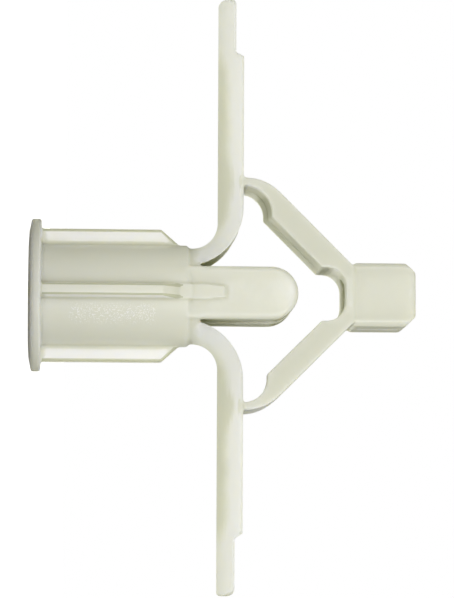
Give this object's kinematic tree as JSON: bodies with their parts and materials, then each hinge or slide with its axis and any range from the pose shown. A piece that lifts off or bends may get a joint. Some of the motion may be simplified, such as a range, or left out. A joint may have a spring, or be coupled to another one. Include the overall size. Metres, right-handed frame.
{
  "type": "plastic drywall anchor",
  "caption": "One-piece plastic toggle anchor for hollow walls: collar, finned sleeve, spread wings, two links and a head that the screw pulls on.",
  "frame": {"origin": "centre of the collar's outer face", "axes": "+Z along the screw's axis, from the collar to the head; the wings spread along X; the mould opens along Y"},
  "size_m": [0.047, 0.012, 0.0303],
  "materials": {
    "moulding": "satin natural polypropylene, slightly see-through, as moulded"
  },
  "bodies": {
    "root": {"anchor": "moulding"}
  },
  "joints": []
}
